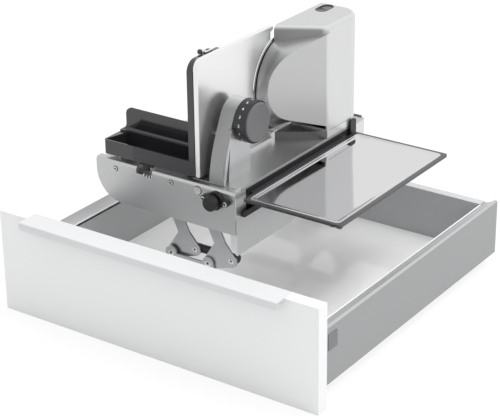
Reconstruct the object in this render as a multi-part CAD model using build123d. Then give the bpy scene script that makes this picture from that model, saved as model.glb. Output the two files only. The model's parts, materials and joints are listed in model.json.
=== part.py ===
"""Food slicer that folds out of a kitchen drawer.

The script works in the drawer's own corner frame: X to the right, Y to the back and Z up, from the lower left
corner of the drawer front's face. Each piece is moved at the end so that the model's origin is the bottom centre.
The slicer stands raised, in its working position. All sizes are millimetres and degrees.
"""
import math
import os

from build123d import *

os.makedirs("parts", exist_ok=True)

# Clearances
RUN = 0.05
SEAT = 0.3

# Drawer
FRONT_W = 596.0
FRONT_H = 173.0
FRONT_T = 22.0
DRAWER_BACK = 578.0
BACK_T = 16.0
BACK_H = 108.0
HOOK_HOLE_R = 3.0
HOOK_HOLE_IN = 14.0
HOOK_HOLE_Z = 32.0
SIDE_INSET = 17.7
SIDE_WALL_T = 1.2
SIDE_BOTTOM = 19.6
SIDE_FLANGE_Z = 14.1
SIDE_FLANGE_REACH = 60.0
SIDE_RIDGE_IN = 21.4
SIDE_RIDGE_Z = 115.8
SIDE_SHOULDER_Z = 113.0
SIDE_LIP_IN = 40.2
SIDE_LIP_Z = 106.2
SIDE_INNER = 41.2
BOARD_T = 8.0
COVER_Y = 65.0
COVER_Z = 88.5
COVER_W = 24.0
COVER_H = 27.0
COVER_T = 0.8
FIXING_DEPTH = 40.0
FIXING_LOW = 30.0
FIXING_HIGH = 92.0

# Handle rail on the front's top edge
RAIL_LEFT = 56.0
RAIL_RIGHT = 537.5
RAIL_REACH = 19.0
RAIL_T = 2.5
RAIL_LIP_T = 3.0
RAIL_LIP_H = 12.0
RAIL_SEAT = 20.0

# Linkage: pivots on the drawer, on the sync rod and on the chassis
PIVOT_X = 200.8
PIVOT_Z = 82.0
PIVOT_STEP = 73.0
SYNC_DX = 43.0
SYNC_DZ = 13.8
TOP_DX = -3.5
TOP_DZ = 94.0
ARM_T = 2.5
ARM_Y = 179.0
LEFT_ARM_Y = ARM_Y + ARM_T + SEAT
EYE_R = 11.0
KNEE_DX = 23.6
KNEE_DZ = 35.8
PIVOT_R = 5.0
SYNC_PIN_R = 4.0
SYNC_ROD_R = 7.0
SYNC_ROD_Y = 191.8
TUBE_R = 8.0
TUBE_WALL = 1.5
BRACKET_T = 3.0
BRACKET_GAP = 0.7
BRACKET_FOOT = 34.0
BASE_SCREW_R = 4.0

# Chassis of the slicer
PLATE_Y = 172.0
PLATE_T = 2.5
PLATE_LEFT = 56.4
PLATE_RIGHT = 331.0
PLATE_TOP = 218.0
PLATE_BOTTOM = 146.5
PLATE_CORNER_R = 52.0
PLATE_BEND_R = 5.0
PLATE_FLANGE = 14.0
PLATE_SCREWS = ((96.1, 205.2), (208.3, 207.8))
PLATE_SCREW_R = 3.3
SCREW_HEAD = 1.6
AXLE_X = 260.4
AXLE_Z = 207.1
AXLE_R = 6.7
REAR_Y = 551.0
REAR_T = 3.0
REAR_TOP = 221.0
REAR_RIGHT = 326.5
SLOT_LEFT = 138.5
SLOT_RIGHT = 170.0
SLOT_DEPTH = 11.0
NOTCH_LEFT = 154.0
NOTCH_DEPTH = 14.5
SKIRT_X = 333.0
SKIRT_T = 2.0
SKIRT_BOTTOM = 111.0
SKIRT_TOP = 175.0
SKIRT_STRIP = 13.0
BEAM_WALL_Y = 187.0
BEAM_T = 3.0
BEAM_LEFT = 62.0
BEAM_RIGHT = 326.0
BEAM_BOTTOM = 160.0
BEAM_WEB = 16.0
DECK_LEFT = 240.0
DECK_T = 2.5
DECK_TOP = 219.0
DECK_EDGE = 2.2
BRACKET_L = 27.0
BRACKET_TOP = 224.0
POST_FRONT = 500.0
POST_W = 4.0
POST_L = 17.0
POST_TOP = 231.0
GUIDE_X = 222.0
GUIDE_Z = 200.0
GUIDE_R = 5.0
GLIDE_X = 84.0
GLIDE_W = 20.0
GLIDE_T = 5.7

# Tower
TOWER_LEFT = 262.0
TOWER_RIGHT = 333.4
TOWER_REAR = 540.0
TOWER_REAR_R = 33.0
TOWER_SEAM = 233.5
TOWER_TOP = 415.0
TOWER_TOP_R = 9.0
TOWER_FRONT_R = 20.0
TOWER_WALL = 2.5
FACE_Y = 433.0
FACE_ANGLE = 61.0
CAP_H = 33.0
CAP_LEFT_Y = 391.0
AXIS_Y = 419.0
AXIS_Z = 313.0
HEAD_RIM_R = 79.5
RIM_LOW = 3.0
HEAD_UPPER = (AXIS_Y - 15.6, AXIS_Z + 7.6)
HEAD_UPPER_R = 66.2
HEAD_LOWER_R = 44.5
HEAD_TOP_ANGLE = 110.5
HEAD_SPLIT_ANGLE = 214.4
HEAD_LOW_ANGLE = 249.2
HEAD_LOW_Z = TOWER_SEAM + 9.1
HEAD_FULL_X = 284.0
HEAD_WALL = 3.0
SLOPE_REAR_Z = TOWER_TOP - 13.0
BASE_LEFT_Y = 384.0
BASE_REAR = 521.0
BASE_REAR_R = 16.0
BLADE_R = 85.0
BLADE_X = 254.0
BLADE_T = 1.5
RIM_R = 74.0
RIM_LEFT = 257.0
HUB_R = 12.0
GEAR_MODULE = 1.5
GEAR_TEETH = 60
PINION_TEETH = 12
GEAR_X = 265.5
GEAR_W = 7.0
GEAR_BACKLASH = 0.25
MOTOR_R = 27.0
MOTOR_LEFT = 276.0
MOTOR_RIGHT = 322.0
SHAFT_R = 4.0
SWITCH_X = 277.0
SWITCH_Y = 511.0
SWITCH_W = 22.0
SWITCH_L = 40.0
SWITCH_DEPTH = 1.2
BEZEL_T = 4.0
WELL_GAP = 0.5
SWITCH_BUTTON_R = 8.0
SWITCH_BUTTON_Y = 501.5
SWITCH_TRAVEL = 2.0

# Thickness setting
STOP_LEFT = 254.0
STOP_T = 7.0
STOP_FRONT = 177.0
STOP_BOTTOM = 226.0
STOP_TOP = 418.5
STOP_BACK = 382.5
STOP_CORNER_R = 15.0
STOP_ARC_Y = 427.0
STOP_ARC_Z = 318.0
STOP_ARC_R = 104.0
STOP_LIP_T = 2.0
STOP_LIP_R = 88.0
STOP_EDGE_R = 2.5
STOP_TRAVEL = 12.5
KNOB_TURN = 300.0
KNOB_Y = 247.0
KNOB_Z = 310.0
KNOB_R = 34.5
KNOB_LEFT = 300.5
KNOB_RIGHT = 326.0
HOLDER_LEFT = 275.0
HOLDER_RIGHT = 300.0
HOLDER_FRONT = 183.5
HOLDER_REAR = 258.0
HOLDER_HEAD_R = 33.5
HOLDER_LEAN = 154.0
HOLDER_REAR_Z = 262.0
HOLDER_CURVE = ((187.1, 249.6), (196.6, 279.9))
NOSE_RIGHT = 303.0
NOSE_BAND = 4.0
NOSE_GROOVE = 17.0
NOSE_FLOOR = 295.0
SPINDLE_R = 6.0
STOP_PIN_R = 4.0
STOP_PIN_Z = (245.0, 285.0)
STOP_PIN_Y = 225.0

# Carriage
CARRIAGE_LEFT = 70.0
CARRIAGE_FRONT = 178.0
CARRIAGE_SHELF_BACK = 223.0
CARRIAGE_BOTTOM = 224.0
CARRIAGE_TOP = 249.0
CARRIAGE_WALL = 2.0
CARRIAGE_FLOOR = 4.0
CARRIAGE_EDGE_R = 2.5
TROUGH_LEFT = 83.0
TROUGH_BACK = 219.0
TROUGH_END = 5.0
TROUGH_R = 6.0
LEDGE_Z = 252.0
COVE_R = 4.0
PUSHER_LEFT = 78.0
PUSHER_T = 7.0
PUSHER_TOP = 290.5
PUSHER_CORNER_R = 12.0
FLARE_TOP = 262.0
GROOVE_LEFT = 107.0
GROOVE_LOW = 268.0
GROOVE_H = 8.0
GROOVE_DEPTH = 1.4
FIN_LEFT = 241.0
FIN_RIGHT = 252.5
FIN_FRONT = 177.0
FIN_BACK = 255.0
FIN_BOTTOM = 226.0
FIN_TOP = 415.0
FIN_CORNER_R = 20.0
CARRIAGE_TRAVEL = 200.0
FOOT_FRONT = 208.0
FOOT_BACK = 250.0

# Release button and tray
RELEASE_X = 297.0
RELEASE_Z = 200.0
RELEASE_R = 12.5
RELEASE_LENGTH = 18.0
RELEASE_TRAVEL = 4.0
EAR_STEP = 21.0
EAR_R = 5.2
EAR_SCREW_R = 3.5
TRAY_LEFT = 339.5
TRAY_RIGHT = 516.5
TRAY_FRONT = 181.5
TRAY_BACK = 512.0
TRAY_TOP = 208.0
TRAY_H = 4.5
INSERT_BEVEL = 1.2
TRAY_RAIL_Z = 176.0
TRAY_RAIL_TOP = 186.0
TRAY_RAIL_LIP = 5.0

ORIGIN = (FRONT_W / 2, (DRAWER_BACK - RAIL_REACH) / 2, 0.0)
BOARD_TOP = SIDE_FLANGE_Z + SIDE_WALL_T + BOARD_T
BOARD_LOW = SIDE_FLANGE_Z + SIDE_WALL_T
TOP_X = PIVOT_X + TOP_DX
TOP_Z = PIVOT_Z + TOP_DZ
REAR_ARM_Y = REAR_Y - (ARM_Y - PLATE_Y - PLATE_T) - ARM_T
BRACKET_Y = ARM_Y - BRACKET_GAP - BRACKET_T
RELEASE_BASE = PLATE_Y - 8.0


def block(x0, x1, y0, y1, z0, z1):
    """A box between two corners."""
    return Pos((x0 + x1) / 2, (y0 + y1) / 2, (z0 + z1) / 2) * Box(x1 - x0, y1 - y0, z1 - z0)


def along_x(sketch, x0, x1):
    """Extrude a sketch drawn in (Y, Z) from x0 to x1."""
    return Pos(x0, 0, 0) * extrude(Plane.YZ * sketch, x1 - x0)


def along_y(sketch, y0, y1):
    """Extrude a sketch drawn in (X, Z) from y0 to y1."""
    return Pos(0, y1, 0) * extrude(Plane.XZ * sketch, y1 - y0)


def along_z(sketch, z0, z1):
    """Extrude a sketch drawn in (X, Y) from z0 to z1."""
    return Pos(0, 0, z0) * extrude(sketch, z1 - z0)


def rod_x(y, z, radius, x0, x1):
    return along_x(Pos(y, z) * Circle(radius), x0, x1)


def rod_y(x, z, radius, y0, y1):
    return along_y(Pos(x, z) * Circle(radius), y0, y1)


def rod_z(x, y, radius, z0, z1):
    return along_z(Pos(x, y) * Circle(radius), z0, z1)


def face_of(*points):
    """A flat face inside a closed ring of points."""
    return make_face(Polyline(*points, close=True))


def mirrored(shape):
    """The same piece on the drawer's right side."""
    return mirror(shape, Plane.YZ.offset(FRONT_W / 2))


def flipped(shape):
    """The same piece at the slicer's rear, mirrored between the two arms."""
    return mirror(shape, Plane.XZ.offset(-(ARM_Y + REAR_ARM_Y + ARM_T) / 2))


# Drawer

def drawer_front():
    board = block(0, FRONT_W, 0, FRONT_T, 0, FRONT_H)
    rebate = block(RAIL_LEFT - SEAT, RAIL_RIGHT + SEAT, -1, RAIL_SEAT + SEAT, FRONT_H - RAIL_T, FRONT_H + 1)
    return board - rebate


def handle_rail():
    section = face_of(
        (RAIL_SEAT, FRONT_H), (-RAIL_REACH, FRONT_H), (-RAIL_REACH, FRONT_H - RAIL_LIP_H),
        (-RAIL_REACH + RAIL_LIP_T, FRONT_H - RAIL_LIP_H), (-RAIL_REACH + RAIL_LIP_T, FRONT_H - RAIL_T),
        (RAIL_SEAT, FRONT_H - RAIL_T))
    rail = along_x(section, RAIL_LEFT, RAIL_RIGHT)
    outer = rail.edges().filter_by(Axis.X).group_by(Axis.Y)[0].group_by(Axis.Z)[-1]
    return fillet(outer, 1.5)


def side_left():
    low = Polyline(
        (SIDE_FLANGE_REACH, SIDE_FLANGE_Z), (SIDE_INSET + 14, SIDE_FLANGE_Z), (SIDE_INSET + 14, SIDE_BOTTOM),
        (SIDE_INSET, SIDE_BOTTOM), (SIDE_INSET, SIDE_SHOULDER_Z), (SIDE_RIDGE_IN, SIDE_RIDGE_Z))
    slope = ThreePointArc(
        (SIDE_RIDGE_IN, SIDE_RIDGE_Z),
        ((SIDE_RIDGE_IN + SIDE_LIP_IN) / 2, (SIDE_RIDGE_Z + SIDE_LIP_Z) / 2 - 2.0),
        (SIDE_LIP_IN, SIDE_LIP_Z))
    inner = Polyline((SIDE_LIP_IN, SIDE_LIP_Z), (SIDE_INNER, SIDE_LIP_Z), (SIDE_INNER, BOARD_TOP))
    skin = make_face(offset(low + slope + inner, amount=SIDE_WALL_T, side=Side.RIGHT, kind=Kind.INTERSECTION))
    return along_y(skin, FRONT_T, DRAWER_BACK)


def bottom_panel():
    left = SIDE_INSET + 14 + SIDE_WALL_T + SEAT
    return block(left, FRONT_W - left, FRONT_T, DRAWER_BACK - BACK_T, BOARD_LOW, BOARD_TOP)


def back_panel():
    """Back board with the two holes that the runners' hooks go into."""
    panel = block(SIDE_INNER, FRONT_W - SIDE_INNER, DRAWER_BACK - BACK_T, DRAWER_BACK, BOARD_LOW, BACK_H)
    for x in (SIDE_INNER + HOOK_HOLE_IN, FRONT_W - SIDE_INNER - HOOK_HOLE_IN):
        panel -= rod_y(x, HOOK_HOLE_Z, HOOK_HOLE_R, DRAWER_BACK - BACK_T - 1, DRAWER_BACK + 1)
    return panel


def side_covers():
    cap = along_x(Pos(COVER_Y, COVER_Z) * RectangleRounded(COVER_W, COVER_H, 2.0), SIDE_INSET - COVER_T, SIDE_INSET)
    return Compound(children=[cap, mirrored(cap)])


def front_fixings():
    inner = SIDE_INNER - SIDE_WALL_T - SEAT
    body = block(SIDE_INSET + SIDE_WALL_T, inner, FRONT_T, FRONT_T + FIXING_DEPTH, FIXING_LOW, FIXING_HIGH)
    return Compound(children=[body, mirrored(body)])


# Fold-out base and linkage

def base_bracket(front_y):
    """Stamped bracket with two eyes and a foot that is screwed to the board."""
    left = PIVOT_X - EYE_R
    right = PIVOT_X + PIVOT_STEP + EYE_R
    wall = Pos((left + right) / 2, (BOARD_TOP + PIVOT_Z) / 2) * Rectangle(right - left, PIVOT_Z - BOARD_TOP)
    for x in (PIVOT_X, PIVOT_X + PIVOT_STEP):
        wall += Pos(x, PIVOT_Z) * Circle(EYE_R)
    for x in (PIVOT_X, PIVOT_X + PIVOT_STEP):
        wall -= Pos(x, PIVOT_Z) * Circle(PIVOT_R)
    bracket = along_y(wall, front_y, front_y + BRACKET_T)
    foot = block(left, right, front_y, front_y + BRACKET_FOOT, BOARD_TOP, BOARD_TOP + BRACKET_T)
    for x in (left + 12, right - 12):
        foot -= rod_z(x, front_y + BRACKET_FOOT - 12, BASE_SCREW_R / 2 + 0.25, BOARD_TOP - 1, BOARD_TOP + 9)
    return bracket + foot


def base_pins():
    pins = []
    for x, front in ((PIVOT_X, LEFT_ARM_Y), (PIVOT_X + PIVOT_STEP, ARM_Y)):
        pin = rod_y(x, PIVOT_Z, PIVOT_R, BRACKET_Y, front + ARM_T)
        pins += [pin, flipped(pin)]
    return Compound(children=pins)


def base_screws():
    screws = []
    left = PIVOT_X - EYE_R
    right = PIVOT_X + PIVOT_STEP + EYE_R
    for x in (left + 12, right - 12):
        y = BRACKET_Y + BRACKET_FOOT - 12
        head = rod_z(x, y, BASE_SCREW_R, BOARD_TOP + BRACKET_T, BOARD_TOP + BRACKET_T + 2)
        screw = head + rod_z(x, y, BASE_SCREW_R / 2, BOARD_TOP, BOARD_TOP + BRACKET_T)
        screws += [screw, flipped(screw)]
    return Compound(children=screws)


def arm(base_x, front_y):
    """Stamped arm: a strap from the chassis pivot that spreads to the base pivot and the sync pivot."""
    base = (base_x, PIVOT_Z)
    sync = (base_x + SYNC_DX, PIVOT_Z + SYNC_DZ)
    top = (base_x + TOP_DX, TOP_Z)
    eyes = [Pos(*place) * Circle(EYE_R) for place in (base, sync, top)]
    knee = Pos(base_x + KNEE_DX, PIVOT_Z + KNEE_DZ) * Circle(EYE_R)
    shape = make_hull((eyes[0] + eyes[1] + knee).edges()) + make_hull((eyes[2] + knee).edges())
    shape -= Pos(*base) * Circle(PIVOT_R + RUN)
    shape -= Pos(*sync) * Circle(SYNC_PIN_R)
    shape -= Pos(*top) * Circle(TUBE_R)
    return along_y(shape, front_y, front_y + ARM_T)


def cross_tube(base_x, front_y):
    x = base_x + TOP_DX
    rear_y = ARM_Y + REAR_ARM_Y + ARM_T - front_y
    outer = rod_y(x, TOP_Z, TUBE_R, front_y, rear_y)
    return outer - rod_y(x, TOP_Z, TUBE_R - TUBE_WALL, front_y - 1, rear_y + 1)


def sync_pin(base_x, front_y):
    return rod_y(base_x + SYNC_DX, PIVOT_Z + SYNC_DZ, SYNC_PIN_R, front_y, SYNC_ROD_Y + SYNC_ROD_R + 1)


def sync_rod():
    z = PIVOT_Z + SYNC_DZ
    first = PIVOT_X + SYNC_DX
    second = first + PIVOT_STEP
    rod = rod_x(SYNC_ROD_Y, z, SYNC_ROD_R, first - SYNC_ROD_R, second + SYNC_ROD_R - 1.5)
    for x in (first, second):
        rod -= rod_y(x, z, SYNC_PIN_R + RUN, SYNC_ROD_Y - 9, SYNC_ROD_Y + 9)
    return rod


# Chassis

def front_plate():
    left, right = PLATE_LEFT, PLATE_RIGHT
    outline = face_of(
        (left, PLATE_TOP), (right, PLATE_TOP), (right, PLATE_BOTTOM), (left, PLATE_BOTTOM))
    outline = fillet(outline.vertices().group_by(Axis.Y)[0].sort_by(Axis.X)[0], PLATE_CORNER_R)
    plate = along_y(outline, PLATE_Y, PLATE_Y + PLATE_T)
    plate += block(left, right, PLATE_Y, PLATE_Y + PLATE_FLANGE, PLATE_TOP - PLATE_T, PLATE_TOP)
    bend = plate.edges().filter_by(Axis.X).group_by(Axis.Y)[0].group_by(Axis.Z)[-1]
    plate = fillet(bend, PLATE_BEND_R)
    plate -= block(SLOT_LEFT, SLOT_RIGHT, PLATE_Y - 1, PLATE_Y + PLATE_FLANGE + 1, PLATE_TOP - SLOT_DEPTH, PLATE_TOP + 1)
    plate -= block(NOTCH_LEFT, SLOT_RIGHT, PLATE_Y - 1, PLATE_Y + PLATE_T + 1, PLATE_TOP - NOTCH_DEPTH, PLATE_TOP)
    plate -= rod_y(RELEASE_X, RELEASE_Z, 5.1, PLATE_Y - 1, PLATE_Y + PLATE_T + 1)
    return plate


def rear_plate():
    outline = face_of(
        (PLATE_LEFT, REAR_TOP), (REAR_RIGHT, REAR_TOP), (REAR_RIGHT, PLATE_BOTTOM), (PLATE_LEFT, PLATE_BOTTOM))
    outline = fillet(outline.vertices().group_by(Axis.Y)[0].sort_by(Axis.X)[0], PLATE_CORNER_R)
    return along_y(outline, REAR_Y, REAR_Y + REAR_T)


def side_skirt():
    wall = block(SKIRT_X - SKIRT_T, SKIRT_X, PLATE_Y + PLATE_T, REAR_Y, SKIRT_BOTTOM, SKIRT_TOP)
    strip = face_of(
        (SKIRT_X - SKIRT_T, SKIRT_TOP), (SKIRT_X - SKIRT_STRIP, SKIRT_TOP),
        (SKIRT_X - SKIRT_STRIP, SKIRT_BOTTOM + SKIRT_STRIP), (SKIRT_X - SKIRT_T, SKIRT_BOTTOM))
    wall += block(SKIRT_X - SKIRT_T, SKIRT_X, BASE_REAR, REAR_Y, SKIRT_TOP, DECK_TOP - DECK_T)
    return wall + along_y(strip, PLATE_Y + PLATE_T, PLATE_Y + PLATE_T + SKIRT_T)


def crossbeam():
    """Channel behind the front plate that carries the tubes, the guide rod and the glide rail."""
    section = face_of(
        (PLATE_Y + PLATE_T, PLATE_TOP - PLATE_T), (BEAM_WALL_Y + BEAM_T + BEAM_WEB, PLATE_TOP - PLATE_T),
        (BEAM_WALL_Y + BEAM_T + BEAM_WEB, PLATE_TOP - PLATE_T - BEAM_T),
        (BEAM_WALL_Y + BEAM_T, PLATE_TOP - PLATE_T - BEAM_T), (BEAM_WALL_Y + BEAM_T, BEAM_BOTTOM),
        (BEAM_WALL_Y, BEAM_BOTTOM), (BEAM_WALL_Y, PLATE_TOP - PLATE_T - BEAM_T),
        (PLATE_Y + PLATE_T, PLATE_TOP - PLATE_T - BEAM_T))
    beam = along_x(section, BEAM_LEFT, BEAM_RIGHT)
    beam -= block(SLOT_LEFT, SLOT_RIGHT, PLATE_Y, BEAM_WALL_Y, PLATE_TOP - SLOT_DEPTH, PLATE_TOP)
    for x in (TOP_X, TOP_X + PIVOT_STEP):
        beam -= rod_y(x, TOP_Z, TUBE_R + 2, BEAM_WALL_Y - 1, BEAM_WALL_Y + BEAM_T + 1)
    beam -= rod_y(GUIDE_X, GUIDE_Z, GUIDE_R, BEAM_WALL_Y - 1, BEAM_WALL_Y + BEAM_T + 1)
    return beam


def tube_bushes():
    bushes = []
    for x in (TOP_X, TOP_X + PIVOT_STEP):
        bush = rod_y(x, TOP_Z, TUBE_R + 2, BEAM_WALL_Y, BEAM_WALL_Y + BEAM_T)
        bush += rod_y(x, TOP_Z, TUBE_R + 4, BEAM_WALL_Y + BEAM_T, BEAM_WALL_Y + BEAM_T + 2)
        bush -= rod_y(x, TOP_Z, TUBE_R + RUN, BEAM_WALL_Y - 1, BEAM_WALL_Y + BEAM_T + 3)
        bushes += [bush, flipped(bush)]
    return Compound(children=bushes)


def guide_rod():
    rear_wall = ARM_Y + REAR_ARM_Y + ARM_T - BEAM_WALL_Y
    return rod_y(GUIDE_X, GUIDE_Z, GUIDE_R, BEAM_WALL_Y, rear_wall)


def glide_rail():
    low = PLATE_TOP - PLATE_T
    front = PLATE_Y + PLATE_FLANGE + SEAT
    rear = ARM_Y + REAR_ARM_Y + ARM_T - front
    rail = block(GLIDE_X, GLIDE_X + GLIDE_W, front, rear, low, low + PLATE_T)
    rib = block(GLIDE_X + GLIDE_W / 2 - 2, GLIDE_X + GLIDE_W / 2 + 2, front, rear, low, low + GLIDE_T)
    return rail + rib


def deck_plate():
    low = DECK_TOP - DECK_T
    plate = block(DECK_LEFT, SKIRT_X, PLATE_Y + PLATE_FLANGE + SEAT, REAR_Y, low, DECK_TOP)
    edge = block(SKIRT_X - DECK_EDGE, SKIRT_X, PLATE_Y + PLATE_FLANGE + SEAT, REAR_Y - 30, low, DECK_TOP + DECK_EDGE)
    return plate + edge


def corner_bracket():
    """Folded corner that ties the front plate, the deck and the skirt."""
    left = PLATE_RIGHT + SEAT
    upright = block(left, SKIRT_X, PLATE_Y, PLATE_Y + BRACKET_L, SKIRT_TOP, DECK_TOP - DECK_T)
    upright += block(left, SKIRT_X, PLATE_Y, PLATE_Y + PLATE_FLANGE, SKIRT_TOP, BRACKET_TOP)
    foot = block(SKIRT_X - 15, left, PLATE_Y + PLATE_T, PLATE_Y + PLATE_T + 2, SKIRT_TOP, DECK_TOP - 7)
    return upright + foot


def tray_rail():
    section = face_of(
        (SKIRT_X, TRAY_RAIL_Z), (SKIRT_X + 8, TRAY_RAIL_Z), (SKIRT_X + 8, TRAY_RAIL_TOP),
        (SKIRT_X + 5, TRAY_RAIL_TOP), (SKIRT_X + 5, TRAY_RAIL_TOP - TRAY_RAIL_LIP),
        (SKIRT_X, TRAY_RAIL_TOP - TRAY_RAIL_LIP))
    rail = along_y(section, PLATE_Y + 12, REAR_Y - 20)
    web = block(
        SKIRT_X - SKIRT_T, SKIRT_X, PLATE_Y + BRACKET_L + 2, BASE_REAR, SKIRT_TOP, DECK_TOP - DECK_T)
    return rail + web


def chassis_screws():
    screws = []
    for x, z in PLATE_SCREWS:
        screws.append(rod_y(x, z, PLATE_SCREW_R, PLATE_Y - SCREW_HEAD, PLATE_Y))
    for x in (RELEASE_X - EAR_STEP, RELEASE_X + EAR_STEP):
        screws.append(rod_y(x, RELEASE_Z, EAR_SCREW_R, RELEASE_BASE - SCREW_HEAD, RELEASE_BASE))
    return Compound(children=screws)


def axle_disc():
    disc = rod_y(AXLE_X, AXLE_Z, AXLE_R, PLATE_Y - 2.5, PLATE_Y)
    return chamfer(disc.edges().group_by(Axis.Y)[0], 0.6)


def release_housing():
    flange = make_hull((Pos(RELEASE_X - EAR_STEP, RELEASE_Z) * Circle(EAR_R)
                        + Pos(RELEASE_X + EAR_STEP, RELEASE_Z) * Circle(EAR_R)).edges())
    flange += Pos(RELEASE_X, RELEASE_Z) * Circle(RELEASE_R + 2.5)
    body = along_y(flange, RELEASE_BASE, PLATE_Y)
    body -= rod_y(RELEASE_X, RELEASE_Z, 5.0 + RUN * 2, RELEASE_BASE - 1, PLATE_Y + 1)
    return body


def release_button():
    """Round push button whose stem runs through the front plate."""
    low = RELEASE_BASE - RELEASE_TRAVEL - SEAT
    body = rod_y(RELEASE_X, RELEASE_Z, RELEASE_R, low - RELEASE_LENGTH + 8, low)
    body = fillet(body.edges().group_by(Axis.Y)[0], 2.0)
    return body + rod_y(RELEASE_X, RELEASE_Z, 5.0, low, PLATE_Y + PLATE_T + 5)


def rear_post():
    """Upright stop that stands in the tray rail beside the tower."""
    left = TOWER_RIGHT + SEAT
    post = block(left, left + POST_W, POST_FRONT, POST_FRONT + POST_L, TRAY_RAIL_TOP - TRAY_RAIL_LIP, POST_TOP)
    return fillet(post.edges().filter_by(Axis.X).group_by(Axis.Z)[-1], 4.0)


# Tower

def ring(centre, radius, degrees):
    """A point on a circle in (Y, Z)."""
    angle = math.radians(degrees)
    return (centre[0] + radius * math.cos(angle), centre[1] + radius * math.sin(angle))


def head_face(upper, upper_r, lower_r, slope_z, low_z, inset):
    """Side view of the head and motor box: two arcs at the front, a sloped top and a straight rear."""
    lower = ring(upper, upper_r - lower_r, HEAD_SPLIT_ANGLE)
    arcs = ThreePointArc(
        ring(upper, upper_r - inset, HEAD_TOP_ANGLE),
        ring(upper, upper_r - inset, (HEAD_TOP_ANGLE + HEAD_SPLIT_ANGLE) / 2),
        ring(upper, upper_r - inset, HEAD_SPLIT_ANGLE))
    arcs += ThreePointArc(
        ring(lower, lower_r - inset, HEAD_SPLIT_ANGLE),
        ring(lower, lower_r - inset, (HEAD_SPLIT_ANGLE + HEAD_LOW_ANGLE) / 2),
        ring(lower, lower_r - inset, HEAD_LOW_ANGLE))
    rest = Polyline(
        ring(lower, lower_r - inset, HEAD_LOW_ANGLE), (FACE_Y, low_z + inset), (FACE_Y, TOWER_SEAM + inset),
        (TOWER_REAR - inset, TOWER_SEAM + inset), (TOWER_REAR - inset, slope_z - inset), (FACE_Y, slope_z - inset),
        ring(upper, upper_r - inset, HEAD_TOP_ANGLE))
    return make_face(arcs + rest)


def rim_face(inset):
    """The head's round left end, level with the blade."""
    return head_face((AXIS_Y, AXIS_Z), HEAD_RIM_R, HEAD_RIM_R, AXIS_Z + HEAD_RIM_R, TOWER_SEAM + RIM_LOW, inset)


def full_face(inset):
    """The head's outline where the oblique face cuts it."""
    return head_face(HEAD_UPPER, HEAD_UPPER_R, HEAD_LOWER_R, SLOPE_REAR_Z, HEAD_LOW_Z, inset)


def tower_plan(front_left, inset):
    """Plan of the tower behind a straight front that ends at the right face, with rounded right corners."""
    left = RIM_LEFT
    right = TOWER_RIGHT - inset
    slope = (FACE_Y - front_left) / (TOWER_RIGHT - left)
    plan = face_of(
        (left, front_left + inset * math.hypot(1, slope)),
        (right, front_left + inset * math.hypot(1, slope) + slope * (right - left)),
        (right, TOWER_REAR - inset), (left, TOWER_REAR - inset))
    corners = plan.vertices().group_by(Axis.X)[-1].sort_by(Axis.Y)
    plan = fillet(corners[0], TOWER_FRONT_R - inset)
    rear = plan.vertices().group_by(Axis.Y)[-1].sort_by(Axis.X)[-1]
    return fillet(rear, TOWER_REAR_R - inset)


def motor_housing():
    """Hollow housing: a lofted round head cut by the flat oblique face, under a cap with soft top edges."""
    oblique_left = FACE_Y - (TOWER_RIGHT - RIM_LEFT) * math.tan(math.radians(FACE_ANGLE))
    head = loft([Plane.YZ.offset(RIM_LEFT) * rim_face(0), Plane.YZ.offset(HEAD_FULL_X) * full_face(0)], ruled=True)
    head += along_x(full_face(0), HEAD_FULL_X, TOWER_RIGHT)
    body = head & along_z(tower_plan(oblique_left, 0), TOWER_SEAM, TOWER_TOP)
    cap = along_z(tower_plan(CAP_LEFT_Y, 0), TOWER_TOP - CAP_H, TOWER_TOP)
    cap = fillet(cap.edges().group_by(Axis.Z)[-1].sort_by(Axis.X)[1:], TOWER_TOP_R)
    body += cap
    cavity = loft(
        [Plane.YZ.offset(RIM_LEFT) * rim_face(HEAD_WALL), Plane.YZ.offset(HEAD_FULL_X) * full_face(HEAD_WALL)],
        ruled=True)
    cavity += along_x(full_face(HEAD_WALL), HEAD_FULL_X, TOWER_RIGHT)
    cavity &= along_z(tower_plan(oblique_left, TOWER_WALL), TOWER_SEAM, TOWER_TOP)
    body -= cavity & block(TOWER_LEFT, TOWER_RIGHT, 0, TOWER_REAR, TOWER_SEAM, TOWER_TOP)
    body -= rod_x(AXIS_Y, AXIS_Z, RIM_R + SEAT, RIM_LEFT - 1, TOWER_LEFT)
    body -= along_z(Pos(SWITCH_X, SWITCH_Y) * switch_oval(0), TOWER_TOP - SWITCH_DEPTH - BEZEL_T, TOWER_TOP + 1)
    body -= rod_z(SWITCH_X, SWITCH_BUTTON_Y, SWITCH_BUTTON_R + WELL_GAP, SLOPE_REAR_Z - HEAD_WALL - 1, TOWER_TOP + 1)
    return body


def switch_oval(inset):
    return Rot(0, 0, 90) * SlotOverall(SWITCH_L - 2 * inset, SWITCH_W - 2 * inset)


def switch_bezel():
    """Oval insert with the round well of the push button."""
    low = TOWER_TOP - SWITCH_DEPTH - BEZEL_T
    plate = along_z(Pos(SWITCH_X, SWITCH_Y) * switch_oval(SEAT / 2), low, low + BEZEL_T)
    return plate - rod_z(SWITCH_X, SWITCH_BUTTON_Y, SWITCH_BUTTON_R + WELL_GAP, low - 1, TOWER_TOP)


def switch_button():
    low = TOWER_TOP - SWITCH_DEPTH
    return rod_z(SWITCH_X, SWITCH_BUTTON_Y, SWITCH_BUTTON_R, low - 9, low + 0.6)


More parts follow.
